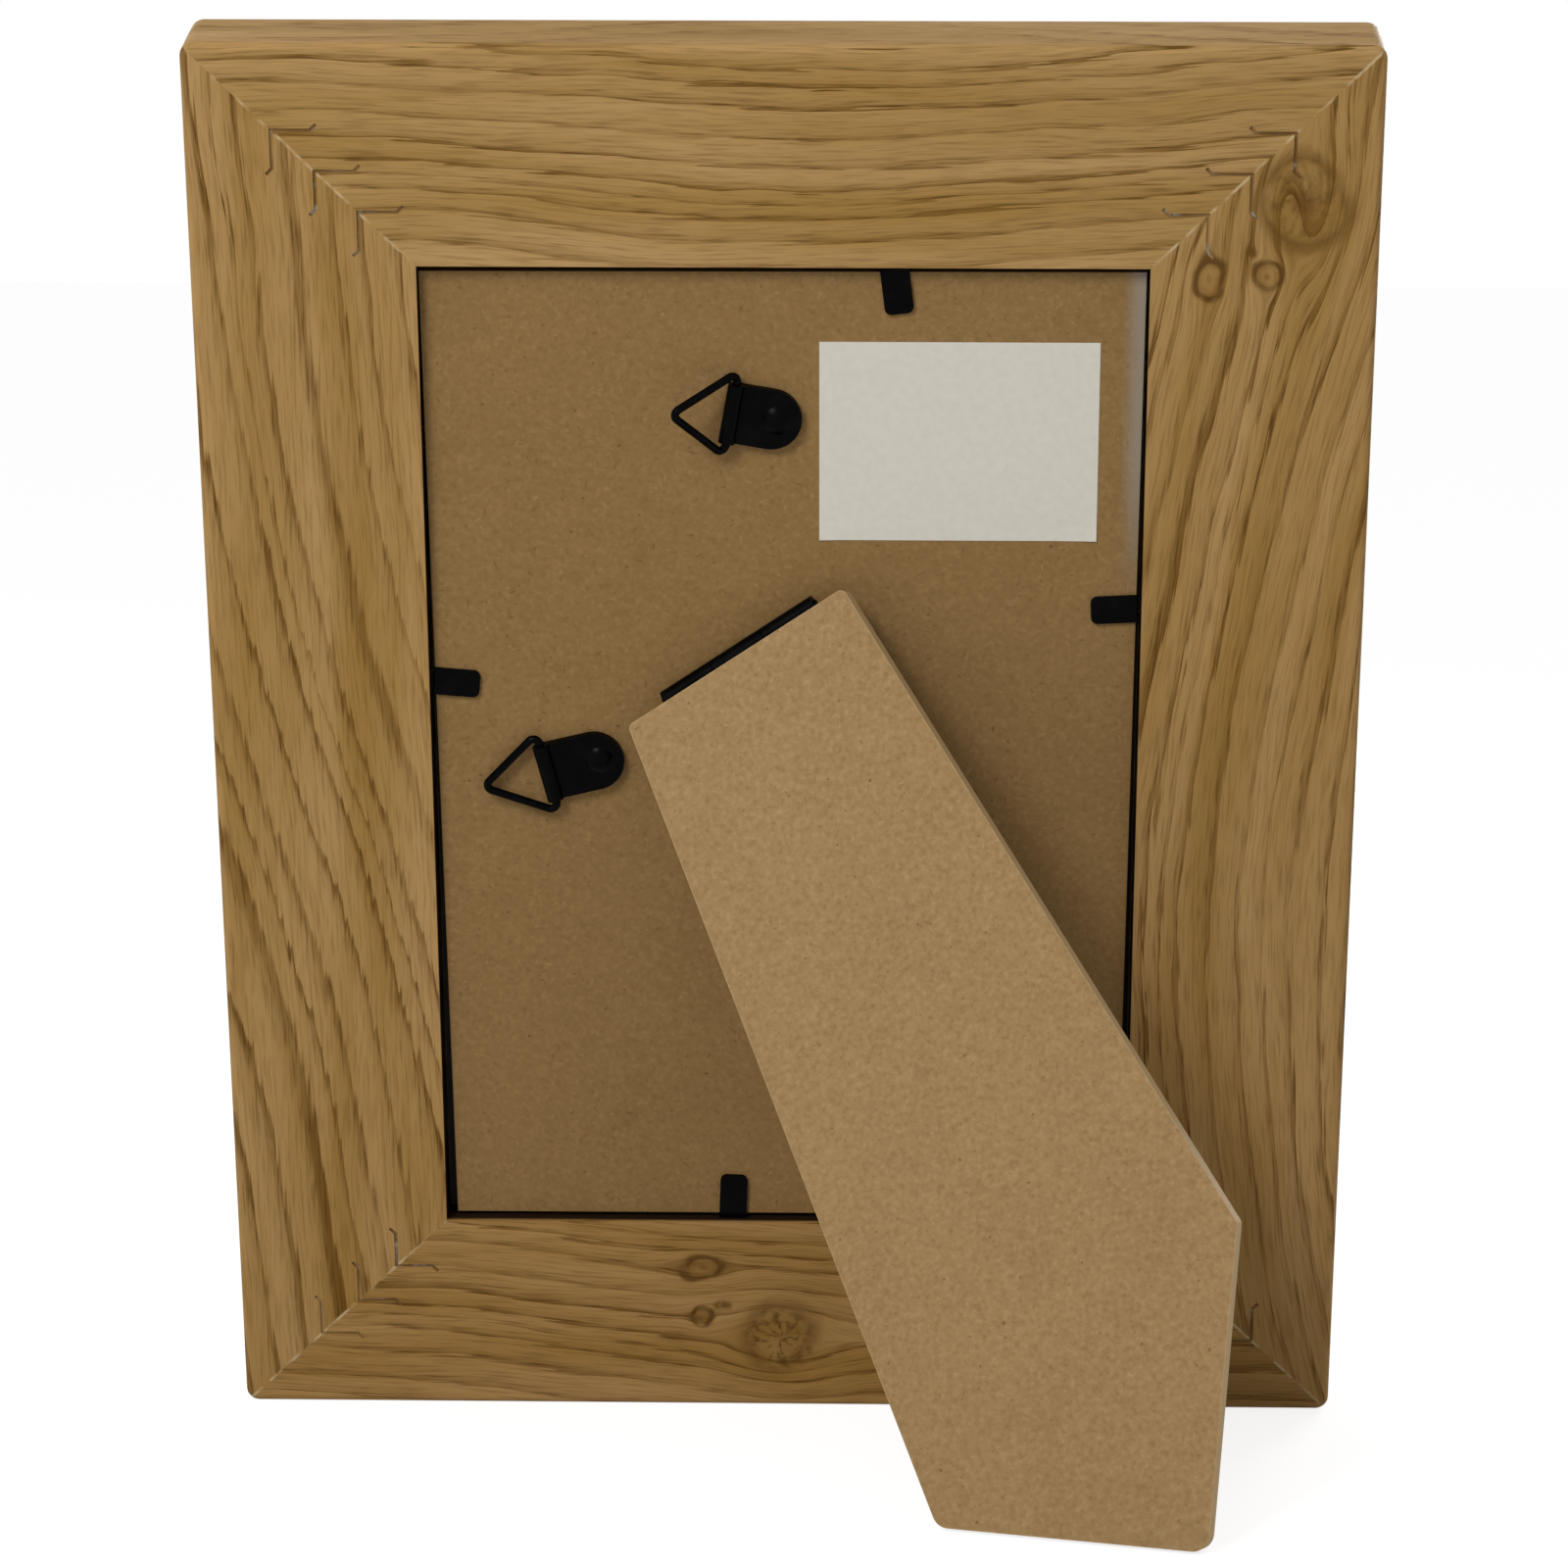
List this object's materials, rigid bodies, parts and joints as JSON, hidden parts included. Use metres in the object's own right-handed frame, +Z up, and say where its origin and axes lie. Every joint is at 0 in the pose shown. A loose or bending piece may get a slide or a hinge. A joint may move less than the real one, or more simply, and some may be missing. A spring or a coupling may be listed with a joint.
{
  "type": "easel back photo frame",
  "caption": "Mitred oak-faced photo frame with a recessed backing board, bendable retaining tabs, swivelling strap hangers and a hinged easel strut.",
  "frame": {"origin": "on the floor, midway across the frame and midway between the front of the frame and the back of the strut's foot", "axes": "+Z up, the glass faces -Y, +Y out of the back towards the strut's foot, +X to the left as seen from behind"},
  "size_m": [0.17, 0.0941, 0.2148],
  "materials": {
    "oak_veneer": "oiled oak veneer",
    "board_fibreboard": "smooth brown fibreboard",
    "strut_fibreboard": "smooth light brown fibreboard",
    "glass": "clear float glass",
    "white_paper": "plain white card",
    "nail_steel": "dulled steel",
    "black_steel": "black paint, satin"
  },
  "bodies": {
    "frame": {"top_rail": "oak_veneer", "bottom_rail": "oak_veneer", "left_rail": "oak_veneer", "right_rail": "oak_veneer", "corner_v_nails": "nail_steel", "glass_pane": "glass", "photo_insert": "white_paper", "backing_board": "board_fibreboard", "retaining_tab_roots": "black_steel", "hinge_board_leaf": "black_steel", "hinge_pin": "black_steel", "hanger_rivet_top": "black_steel", "hanger_rivet_side": "black_steel"},
    "strut": {"strut": "strut_fibreboard", "hinge_strut_leaf": "black_steel"},
    "hanger_top": {"hanger_strap_top": "black_steel"},
    "hanger_top_ring": {"hanger_ring_top": "black_steel"},
    "hanger_side": {"hanger_strap_side": "black_steel"},
    "hanger_side_ring": {"hanger_ring_side": "black_steel"},
    "tab_top": {"retaining_tab_top": "black_steel"},
    "tab_right": {"retaining_tab_right": "black_steel"},
    "tab_left": {"retaining_tab_left": "black_steel"},
    "tab_bottom": {"retaining_tab_bottom": "black_steel"}
  },
  "joints": [
    {"name": "strut_hinge", "type": "hinge", "parent": "frame", "child": "strut", "pos_m": [0.0064, -0.00045, 0.12269], "axis": [0.8221, -0.1473, -0.5499], "range_deg": [-30, 0]},
    {"name": "hanger_top_swivel", "type": "hinge", "parent": "frame", "child": "hanger_top", "pos_m": [0.0009, 0.00737, 0.15776], "axis": [0, 0.9659, -0.2588], "continuous": true},
    {"name": "hanger_top_ring_flip", "type": "hinge", "parent": "hanger_top", "child": "hanger_top_ring", "pos_m": [0.0075, 0.00883, 0.15857], "axis": [-0.1736, 0.2549, 0.9513], "range_deg": [-30, 130]},
    {"name": "hanger_side_swivel", "type": "hinge", "parent": "frame", "child": "hanger_side", "pos_m": [0.0275, -0.00648, 0.10608], "axis": [0, 0.9659, -0.2588], "range_deg": [-120, 150]},
    {"name": "hanger_side_ring_flip", "type": "hinge", "parent": "hanger_side", "child": "hanger_side_ring", "pos_m": [0.03526, -0.00582, 0.1039], "axis": [0.2419, 0.2511, 0.9372], "range_deg": [0, 160]},
    {"name": "tab_top_bend", "type": "hinge", "parent": "frame", "child": "tab_top", "pos_m": [-0.01598, 0.01337, 0.17966], "axis": [0.9928, -0.0311, -0.116], "range_deg": [0, 85]},
    {"name": "tab_right_bend", "type": "hinge", "parent": "frame", "child": "tab_right", "pos_m": [-0.0518, -0.00005, 0.12958], "axis": [0.0523, 0.2585, 0.9646], "range_deg": [0, 85]},
    {"name": "tab_left_bend", "type": "hinge", "parent": "frame", "child": "tab_left", "pos_m": [0.0518, -0.00316, 0.11797], "axis": [0.0802, -0.258, -0.9628], "range_deg": [0, 85]},
    {"name": "tab_bottom_bend", "type": "hinge", "parent": "frame", "child": "tab_bottom", "pos_m": [0.00818, -0.02613, 0.03225], "axis": [-0.9994, -0.009, -0.0337], "range_deg": [0, 85]}
  ]
}
